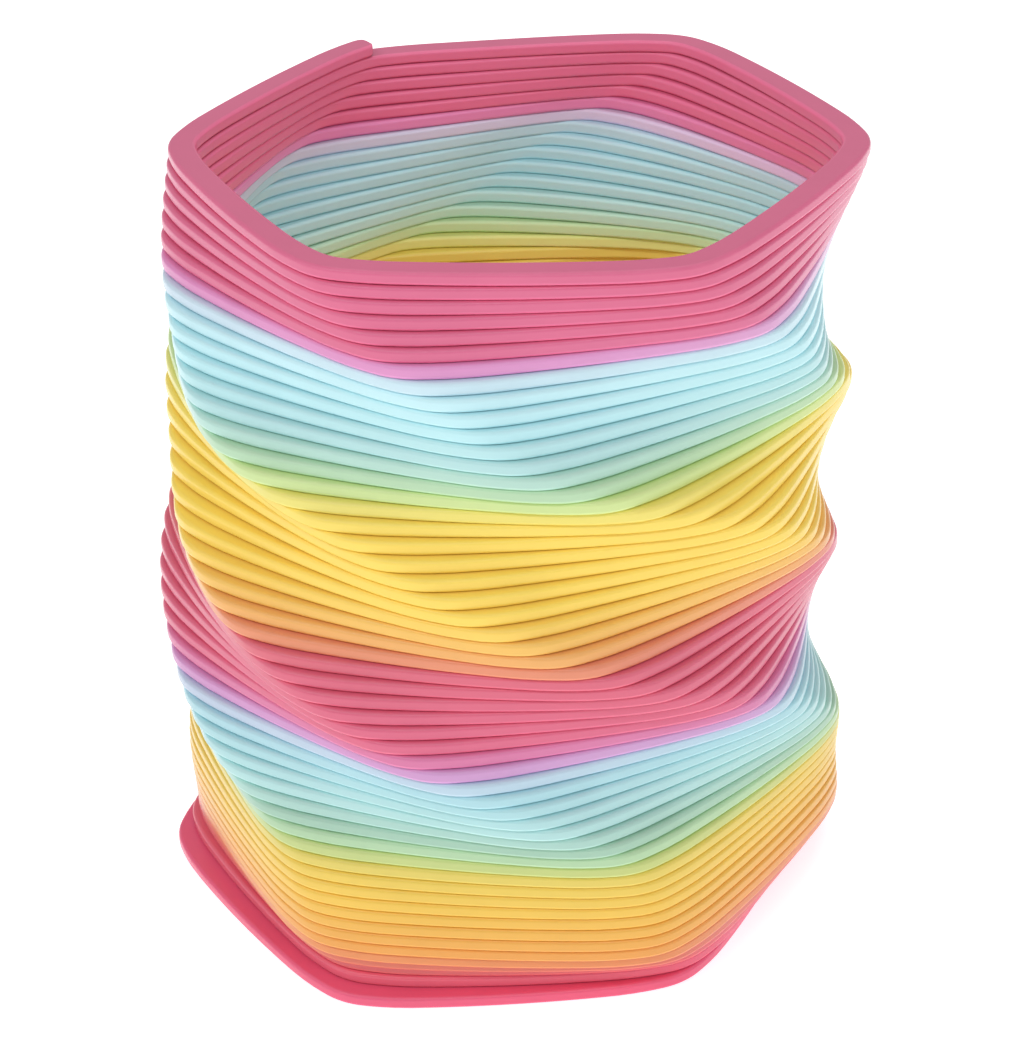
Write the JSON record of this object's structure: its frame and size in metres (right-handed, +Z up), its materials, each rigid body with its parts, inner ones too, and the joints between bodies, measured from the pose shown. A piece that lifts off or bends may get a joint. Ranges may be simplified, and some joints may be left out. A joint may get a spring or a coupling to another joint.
{
  "type": "spring coil toy",
  "caption": "Springy coil toy of a flat plastic strand wound in rounded hexagonal turns that twist down the closed stack, in soft rainbow bands.",
  "frame": {"origin": "under the middle of the closed stack's box, on the surface that it stands on", "axes": "+Z up along the coil; -Y is the front, and the strand's top tip is at the back left, at +Y and -X"},
  "size_m": [0.0788, 0.0812, 0.0843],
  "materials": {
    "pink": "glossy, slightly translucent moulded plastic",
    "lilac": "glossy, slightly translucent moulded plastic",
    "aqua": "glossy, slightly translucent moulded plastic",
    "green": "glossy, slightly translucent moulded plastic",
    "yellow": "glossy, slightly translucent moulded plastic",
    "orange": "glossy, slightly translucent moulded plastic"
  },
  "bodies": {
    "turn_57": {"turn_57": "pink"},
    "turn_56": {"turn_56": "pink"},
    "turn_55": {"turn_55": "pink"},
    "turn_54": {"turn_54": "orange"},
    "turn_53": {"turn_53": "orange"},
    "turn_52": {"turn_52": "orange"},
    "turn_51": {"turn_51": "orange"},
    "turn_50": {"turn_50": "yellow"},
    "turn_49": {"turn_49": "yellow"},
    "turn_48": {"turn_48": "yellow"},
    "turn_47": {"turn_47": "yellow"},
    "turn_46": {"turn_46": "yellow"},
    "turn_45": {"turn_45": "yellow"},
    "turn_44": {"turn_44": "green"},
    "turn_43": {"turn_43": "green"},
    "turn_42": {"turn_42": "green"},
    "turn_41": {"turn_41": "aqua"},
    "turn_40": {"turn_40": "aqua"},
    "turn_39": {"turn_39": "aqua"},
    "turn_38": {"turn_38": "aqua"},
    "turn_37": {"turn_37": "aqua"},
    "turn_36": {"turn_36": "aqua"},
    "turn_35": {"turn_35": "lilac"},
    "turn_34": {"turn_34": "pink"},
    "turn_33": {"turn_33": "pink"},
    "turn_32": {"turn_32": "pink"},
    "turn_31": {"turn_31": "pink"},
    "turn_30": {"turn_30": "pink"},
    "turn_29": {"turn_29": "pink"},
    "turn_28": {"turn_28": "pink"},
    "turn_27": {"turn_27": "orange"},
    "turn_26": {"turn_26": "orange"},
    "turn_25": {"turn_25": "yellow"},
    "turn_24": {"turn_24": "yellow"},
    "turn_23": {"turn_23": "yellow"},
    "turn_22": {"turn_22": "yellow"},
    "turn_21": {"turn_21": "yellow"},
    "turn_20": {"turn_20": "yellow"},
    "turn_19": {"turn_19": "yellow"},
    "turn_18": {"turn_18": "yellow"},
    "turn_17": {"turn_17": "yellow"},
    "turn_16": {"turn_16": "green"},
    "turn_15": {"turn_15": "green"},
    "turn_14": {"turn_14": "aqua"},
    "turn_13": {"turn_13": "aqua"},
    "turn_12": {"turn_12": "aqua"},
    "turn_11": {"turn_11": "aqua"},
    "turn_10": {"turn_10": "aqua"},
    "turn_09": {"turn_09": "aqua"},
    "turn_08": {"turn_08": "aqua"},
    "turn_07": {"turn_07": "lilac"},
    "turn_06": {"turn_06": "pink"},
    "turn_05": {"turn_05": "pink"},
    "turn_04": {"turn_04": "pink"},
    "turn_03": {"turn_03": "pink"},
    "turn_02": {"turn_02": "pink"},
    "turn_01": {"turn_01": "pink"}
  },
  "joints": [
    {"name": "stretch", "type": "slide", "parent": "turn_57", "child": "turn_56", "axis": [0, 0, 1], "range_m": [0, 0.012], "stiffness_N_per_m": 28, "springref_m": 0.0185},
    {"name": "arch", "type": "hinge", "parent": "turn_56", "child": "turn_55", "pos_m": [-0.01825, 0.03432, 0.00292], "axis": [-0.8829, -0.4695, 0], "range_deg": [0, 6.43], "stiffness_Nm_per_rad": 0.044, "springref_deg": 26.18},
    {"name": "stretch_54", "type": "slide", "parent": "turn_55", "child": "turn_54", "axis": [0, 0, 1], "range_m": [0, 0.012], "stiffness_N_per_m": 28, "springref_m": 0.0179},
    {"name": "arch_53", "type": "hinge", "parent": "turn_54", "child": "turn_53", "pos_m": [-0.01783, 0.03353, 0.00588], "axis": [-0.8829, -0.4695, 0], "range_deg": [0, 6.43], "stiffness_Nm_per_rad": 0.044, "springref_deg": 24.69},
    {"name": "stretch_52", "type": "slide", "parent": "turn_53", "child": "turn_52", "axis": [0, 0, 1], "range_m": [0, 0.012], "stiffness_N_per_m": 28, "springref_m": 0.0172},
    {"name": "arch_51", "type": "hinge", "parent": "turn_52", "child": "turn_51", "pos_m": [-0.01684, 0.03168, 0.00884], "axis": [-0.8829, -0.4695, 0], "range_deg": [0, 6.43], "stiffness_Nm_per_rad": 0.044, "springref_deg": 22.4},
    {"name": "stretch_50", "type": "slide", "parent": "turn_51", "child": "turn_50", "axis": [0, 0, 1], "range_m": [0, 0.012], "stiffness_N_per_m": 28, "springref_m": 0.0165},
    {"name": "arch_49", "type": "hinge", "parent": "turn_50", "child": "turn_49", "pos_m": [-0.01663, 0.03128, 0.0118], "axis": [-0.8829, -0.4695, 0], "range_deg": [0, 6.43], "stiffness_Nm_per_rad": 0.044, "springref_deg": 21.26},
    {"name": "stretch_48", "type": "slide", "parent": "turn_49", "child": "turn_48", "axis": [0, 0, 1], "range_m": [0, 0.012], "stiffness_N_per_m": 28, "springref_m": 0.0159},
    {"name": "arch_47", "type": "hinge", "parent": "turn_48", "child": "turn_47", "pos_m": [-0.01664, 0.0313, 0.01476], "axis": [-0.8829, -0.4695, 0], "range_deg": [0, 6.43], "stiffness_Nm_per_rad": 0.044, "springref_deg": 20.34},
    {"name": "stretch_46", "type": "slide", "parent": "turn_47", "child": "turn_46", "axis": [0, 0, 1], "range_m": [0, 0.012], "stiffness_N_per_m": 28, "springref_m": 0.0152},
    {"name": "arch_45", "type": "hinge", "parent": "turn_46", "child": "turn_45", "pos_m": [-0.01653, 0.03108, 0.01772], "axis": [-0.8829, -0.4695, 0], "range_deg": [0, 6.43], "stiffness_Nm_per_rad": 0.044, "springref_deg": 19.31},
    {"name": "stretch_44", "type": "slide", "parent": "turn_45", "child": "turn_44", "axis": [0, 0, 1], "range_m": [0, 0.012], "stiffness_N_per_m": 28, "springref_m": 0.0145},
    {"name": "arch_43", "type": "hinge", "parent": "turn_44", "child": "turn_43", "pos_m": [-0.0164, 0.03084, 0.02068], "axis": [-0.8829, -0.4695, 0], "range_deg": [0, 6.43], "stiffness_Nm_per_rad": 0.044, "springref_deg": 18.28},
    {"name": "stretch_42", "type": "slide", "parent": "turn_43", "child": "turn_42", "axis": [0, 0, 1], "range_m": [0, 0.012], "stiffness_N_per_m": 28, "springref_m": 0.0139},
    {"name": "arch_41", "type": "hinge", "parent": "turn_42", "child": "turn_41", "pos_m": [-0.01622, 0.0305, 0.02364], "axis": [-0.8829, -0.4695, 0], "range_deg": [0, 6.43], "stiffness_Nm_per_rad": 0.044, "springref_deg": 17.13},
    {"name": "stretch_40", "type": "slide", "parent": "turn_41", "child": "turn_40", "axis": [0, 0, 1], "range_m": [0, 0.012], "stiffness_N_per_m": 28, "springref_m": 0.0132},
    {"name": "arch_39", "type": "hinge", "parent": "turn_40", "child": "turn_39", "pos_m": [-0.0159, 0.0299, 0.0266], "axis": [-0.8829, -0.4695, 0], "range_deg": [0, 6.43], "stiffness_Nm_per_rad": 0.044, "springref_deg": 15.93},
    {"name": "stretch_38", "type": "slide", "parent": "turn_39", "child": "turn_38", "axis": [0, 0, 1], "range_m": [0, 0.012], "stiffness_N_per_m": 28, "springref_m": 0.0126},
    {"name": "arch_37", "type": "hinge", "parent": "turn_38", "child": "turn_37", "pos_m": [-0.01545, 0.02905, 0.02956], "axis": [-0.8829, -0.4695, 0], "range_deg": [0, 6.43], "stiffness_Nm_per_rad": 0.044, "springref_deg": 14.67},
    {"name": "stretch_36", "type": "slide", "parent": "turn_37", "child": "turn_36", "axis": [0, 0, 1], "range_m": [0, 0.012], "stiffness_N_per_m": 28, "springref_m": 0.0119},
    {"name": "arch_35", "type": "hinge", "parent": "turn_36", "child": "turn_35", "pos_m": [-0.01572, 0.02956, 0.03252], "axis": [-0.8829, -0.4695, 0], "range_deg": [0, 6.43], "stiffness_Nm_per_rad": 0.044, "springref_deg": 14.04},
    {"name": "stretch_34", "type": "slide", "parent": "turn_35", "child": "turn_34", "axis": [0, 0, 1], "range_m": [0, 0.012], "stiffness_N_per_m": 28, "springref_m": 0.0112},
    {"name": "arch_33", "type": "hinge", "parent": "turn_34", "child": "turn_33", "pos_m": [-0.01613, 0.03034, 0.03548], "axis": [-0.8829, -0.4695, 0], "range_deg": [0, 6.43], "stiffness_Nm_per_rad": 0.044, "springref_deg": 13.52},
    {"name": "stretch_32", "type": "slide", "parent": "turn_33", "child": "turn_32", "axis": [0, 0, 1], "range_m": [0, 0.012], "stiffness_N_per_m": 28, "springref_m": 0.0106},
    {"name": "arch_31", "type": "hinge", "parent": "turn_32", "child": "turn_31", "pos_m": [-0.01626, 0.03059, 0.03844], "axis": [-0.8829, -0.4695, 0], "range_deg": [0, 6.43], "stiffness_Nm_per_rad": 0.044, "springref_deg": 12.72},
    {"name": "stretch_30", "type": "slide", "parent": "turn_31", "child": "turn_30", "axis": [0, 0, 1], "range_m": [0, 0.012], "stiffness_N_per_m": 28, "springref_m": 0.00992},
    {"name": "arch_29", "type": "hinge", "parent": "turn_30", "child": "turn_29", "pos_m": [-0.01624, 0.03055, 0.0414], "axis": [-0.8829, -0.4695, 0], "range_deg": [0, 6.43], "stiffness_Nm_per_rad": 0.044, "springref_deg": 11.8},
    {"name": "stretch_28", "type": "slide", "parent": "turn_29", "child": "turn_28", "axis": [0, 0, 1], "range_m": [0, 0.012], "stiffness_N_per_m": 28, "springref_m": 0.00926},
    {"name": "arch_27", "type": "hinge", "parent": "turn_28", "child": "turn_27", "pos_m": [-0.01619, 0.03045, 0.04436], "axis": [-0.8829, -0.4695, 0], "range_deg": [0, 6.43], "stiffness_Nm_per_rad": 0.044, "springref_deg": 10.89},
    {"name": "stretch_26", "type": "slide", "parent": "turn_27", "child": "turn_26", "axis": [0, 0, 1], "range_m": [0, 0.012], "stiffness_N_per_m": 28, "springref_m": 0.00859},
    {"name": "arch_25", "type": "hinge", "parent": "turn_26", "child": "turn_25", "pos_m": [-0.01599, 0.03006, 0.04732], "axis": [-0.8829, -0.4695, 0], "range_deg": [0, 6.43], "stiffness_Nm_per_rad": 0.044, "springref_deg": 9.85},
    {"name": "stretch_24", "type": "slide", "parent": "turn_25", "child": "turn_24", "axis": [0, 0, 1], "range_m": [0, 0.012], "stiffness_N_per_m": 28, "springref_m": 0.00793},
    {"name": "arch_23", "type": "hinge", "parent": "turn_24", "child": "turn_23", "pos_m": [-0.01588, 0.02986, 0.05028], "axis": [-0.8829, -0.4695, 0], "range_deg": [0, 6.43], "stiffness_Nm_per_rad": 0.044, "springref_deg": 8.94},
    {"name": "stretch_22", "type": "slide", "parent": "turn_23", "child": "turn_22", "axis": [0, 0, 1], "range_m": [0, 0.012], "stiffness_N_per_m": 28, "springref_m": 0.00727},
    {"name": "arch_21", "type": "hinge", "parent": "turn_22", "child": "turn_21", "pos_m": [-0.01677, 0.03154, 0.05324], "axis": [-0.8829, -0.4695, 0], "range_deg": [0, 6.43], "stiffness_Nm_per_rad": 0.044, "springref_deg": 8.54},
    {"name": "stretch_20", "type": "slide", "parent": "turn_21", "child": "turn_20", "axis": [0, 0, 1], "range_m": [0, 0.012], "stiffness_N_per_m": 28, "springref_m": 0.00661},
    {"name": "arch_19", "type": "hinge", "parent": "turn_20", "child": "turn_19", "pos_m": [-0.0175, 0.03292, 0.0562], "axis": [-0.8829, -0.4695, 0], "range_deg": [0, 6.43], "stiffness_Nm_per_rad": 0.044, "springref_deg": 8.02},
    {"name": "stretch_18", "type": "slide", "parent": "turn_19", "child": "turn_18", "axis": [0, 0, 1], "range_m": [0, 0.012], "stiffness_N_per_m": 28, "springref_m": 0.00595},
    {"name": "arch_17", "type": "hinge", "parent": "turn_18", "child": "turn_17", "pos_m": [-0.01771, 0.03331, 0.05916], "axis": [-0.8829, -0.4695, 0], "range_deg": [0, 6.43], "stiffness_Nm_per_rad": 0.044, "springref_deg": 7.22},
    {"name": "stretch_16", "type": "slide", "parent": "turn_17", "child": "turn_16", "axis": [0, 0, 1], "range_m": [0, 0.012], "stiffness_N_per_m": 28, "springref_m": 0.00529},
    {"name": "arch_15", "type": "hinge", "parent": "turn_16", "child": "turn_15", "pos_m": [-0.01778, 0.03344, 0.06212], "axis": [-0.8829, -0.4695, 0], "range_deg": [0, 6.43], "stiffness_Nm_per_rad": 0.044, "springref_deg": 6.36},
    {"name": "stretch_14", "type": "slide", "parent": "turn_15", "child": "turn_14", "axis": [0, 0, 1], "range_m": [0, 0.012], "stiffness_N_per_m": 28, "springref_m": 0.00463},
    {"name": "arch_13", "type": "hinge", "parent": "turn_14", "child": "turn_13", "pos_m": [-0.01762, 0.03313, 0.06508], "axis": [-0.8829, -0.4695, 0], "range_deg": [0, 6.43], "stiffness_Nm_per_rad": 0.044, "springref_deg": 5.4},
    {"name": "stretch_12", "type": "slide", "parent": "turn_13", "child": "turn_12", "axis": [0, 0, 1], "range_m": [0, 0.012], "stiffness_N_per_m": 28, "springref_m": 0.00397},
    {"name": "arch_11", "type": "hinge", "parent": "turn_12", "child": "turn_11", "pos_m": [-0.01768, 0.03325, 0.06804], "axis": [-0.8829, -0.4695, 0], "range_deg": [0, 6.43], "stiffness_Nm_per_rad": 0.044, "springref_deg": 4.56},
    {"name": "stretch_10", "type": "slide", "parent": "turn_11", "child": "turn_10", "axis": [0, 0, 1], "range_m": [0, 0.012], "stiffness_N_per_m": 28, "springref_m": 0.00331},
    {"name": "arch_09", "type": "hinge", "parent": "turn_10", "child": "turn_09", "pos_m": [-0.01835, 0.03452, 0.071], "axis": [-0.8829, -0.4695, 0], "range_deg": [0, 6.43], "stiffness_Nm_per_rad": 0.044, "springref_deg": 3.88},
    {"name": "stretch_08", "type": "slide", "parent": "turn_09", "child": "turn_08", "axis": [0, 0, 1], "range_m": [0, 0.012], "stiffness_N_per_m": 28, "springref_m": 0.00265},
    {"name": "arch_07", "type": "hinge", "parent": "turn_08", "child": "turn_07", "pos_m": [-0.01891, 0.03557, 0.07396], "axis": [-0.8829, -0.4695, 0], "range_deg": [0, 6.43], "stiffness_Nm_per_rad": 0.044, "springref_deg": 3.11},
    {"name": "stretch_06", "type": "slide", "parent": "turn_07", "child": "turn_06", "axis": [0, 0, 1], "range_m": [0, 0.012], "stiffness_N_per_m": 28, "springref_m": 0.00198},
    {"name": "arch_05", "type": "hinge", "parent": "turn_06", "child": "turn_05", "pos_m": [-0.0192, 0.03611, 0.07692], "axis": [-0.8829, -0.4695, 0], "range_deg": [0, 6.43], "stiffness_Nm_per_rad": 0.044, "springref_deg": 2.26},
    {"name": "stretch_04", "type": "slide", "parent": "turn_05", "child": "turn_04", "axis": [0, 0, 1], "range_m": [0, 0.012], "stiffness_N_per_m": 28, "springref_m": 0.00132},
    {"name": "arch_03", "type": "hinge", "parent": "turn_04", "child": "turn_03", "pos_m": [-0.01924, 0.03618, 0.07988], "axis": [-0.8829, -0.4695, 0], "range_deg": [0, 6.43], "stiffness_Nm_per_rad": 0.044, "springref_deg": 1.36},
    {"name": "stretch_02", "type": "slide", "parent": "turn_03", "child": "turn_02", "axis": [0, 0, 1], "range_m": [0, 0.012], "stiffness_N_per_m": 28, "springref_m": 0.00066},
    {"name": "arch_01", "type": "hinge", "parent": "turn_02", "child": "turn_01", "pos_m": [-0.0192, 0.0361, 0.08284], "axis": [-0.8829, -0.4695, 0], "range_deg": [0, 6.43], "stiffness_Nm_per_rad": 0.044, "springref_deg": 0.45}
  ],
  "couplings": [
    {"joint": "stretch_54", "follows": "stretch", "ratio": 1},
    {"joint": "arch_53", "follows": "arch", "ratio": 1},
    {"joint": "stretch_52", "follows": "stretch", "ratio": 1},
    {"joint": "arch_51", "follows": "arch", "ratio": 1},
    {"joint": "stretch_50", "follows": "stretch", "ratio": 1},
    {"joint": "arch_49", "follows": "arch", "ratio": 1},
    {"joint": "stretch_48", "follows": "stretch", "ratio": 1},
    {"joint": "arch_47", "follows": "arch", "ratio": 1},
    {"joint": "stretch_46", "follows": "stretch", "ratio": 1},
    {"joint": "arch_45", "follows": "arch", "ratio": 1},
    {"joint": "stretch_44", "follows": "stretch", "ratio": 1},
    {"joint": "arch_43", "follows": "arch", "ratio": 1},
    {"joint": "stretch_42", "follows": "stretch", "ratio": 1},
    {"joint": "arch_41", "follows": "arch", "ratio": 1},
    {"joint": "stretch_40", "follows": "stretch", "ratio": 1},
    {"joint": "arch_39", "follows": "arch", "ratio": 1},
    {"joint": "stretch_38", "follows": "stretch", "ratio": 1},
    {"joint": "arch_37", "follows": "arch", "ratio": 1},
    {"joint": "stretch_36", "follows": "stretch", "ratio": 1},
    {"joint": "arch_35", "follows": "arch", "ratio": 1},
    {"joint": "stretch_34", "follows": "stretch", "ratio": 1},
    {"joint": "arch_33", "follows": "arch", "ratio": 1},
    {"joint": "stretch_32", "follows": "stretch", "ratio": 1},
    {"joint": "arch_31", "follows": "arch", "ratio": 1},
    {"joint": "stretch_30", "follows": "stretch", "ratio": 1},
    {"joint": "arch_29", "follows": "arch", "ratio": 1},
    {"joint": "stretch_28", "follows": "stretch", "ratio": 1},
    {"joint": "arch_27", "follows": "arch", "ratio": 1},
    {"joint": "stretch_26", "follows": "stretch", "ratio": 1},
    {"joint": "arch_25", "follows": "arch", "ratio": 1},
    {"joint": "stretch_24", "follows": "stretch", "ratio": 1},
    {"joint": "arch_23", "follows": "arch", "ratio": 1},
    {"joint": "stretch_22", "follows": "stretch", "ratio": 1},
    {"joint": "arch_21", "follows": "arch", "ratio": 1},
    {"joint": "stretch_20", "follows": "stretch", "ratio": 1},
    {"joint": "arch_19", "follows": "arch", "ratio": 1},
    {"joint": "stretch_18", "follows": "stretch", "ratio": 1},
    {"joint": "arch_17", "follows": "arch", "ratio": 1},
    {"joint": "stretch_16", "follows": "stretch", "ratio": 1},
    {"joint": "arch_15", "follows": "arch", "ratio": 1},
    {"joint": "stretch_14", "follows": "stretch", "ratio": 1},
    {"joint": "arch_13", "follows": "arch", "ratio": 1},
    {"joint": "stretch_12", "follows": "stretch", "ratio": 1},
    {"joint": "arch_11", "follows": "arch", "ratio": 1},
    {"joint": "stretch_10", "follows": "stretch", "ratio": 1},
    {"joint": "arch_09", "follows": "arch", "ratio": 1},
    {"joint": "stretch_08", "follows": "stretch", "ratio": 1},
    {"joint": "arch_07", "follows": "arch", "ratio": 1},
    {"joint": "stretch_06", "follows": "stretch", "ratio": 1},
    {"joint": "arch_05", "follows": "arch", "ratio": 1},
    {"joint": "stretch_04", "follows": "stretch", "ratio": 1},
    {"joint": "arch_03", "follows": "arch", "ratio": 1},
    {"joint": "stretch_02", "follows": "stretch", "ratio": 1},
    {"joint": "arch_01", "follows": "arch", "ratio": 1}
  ]
}
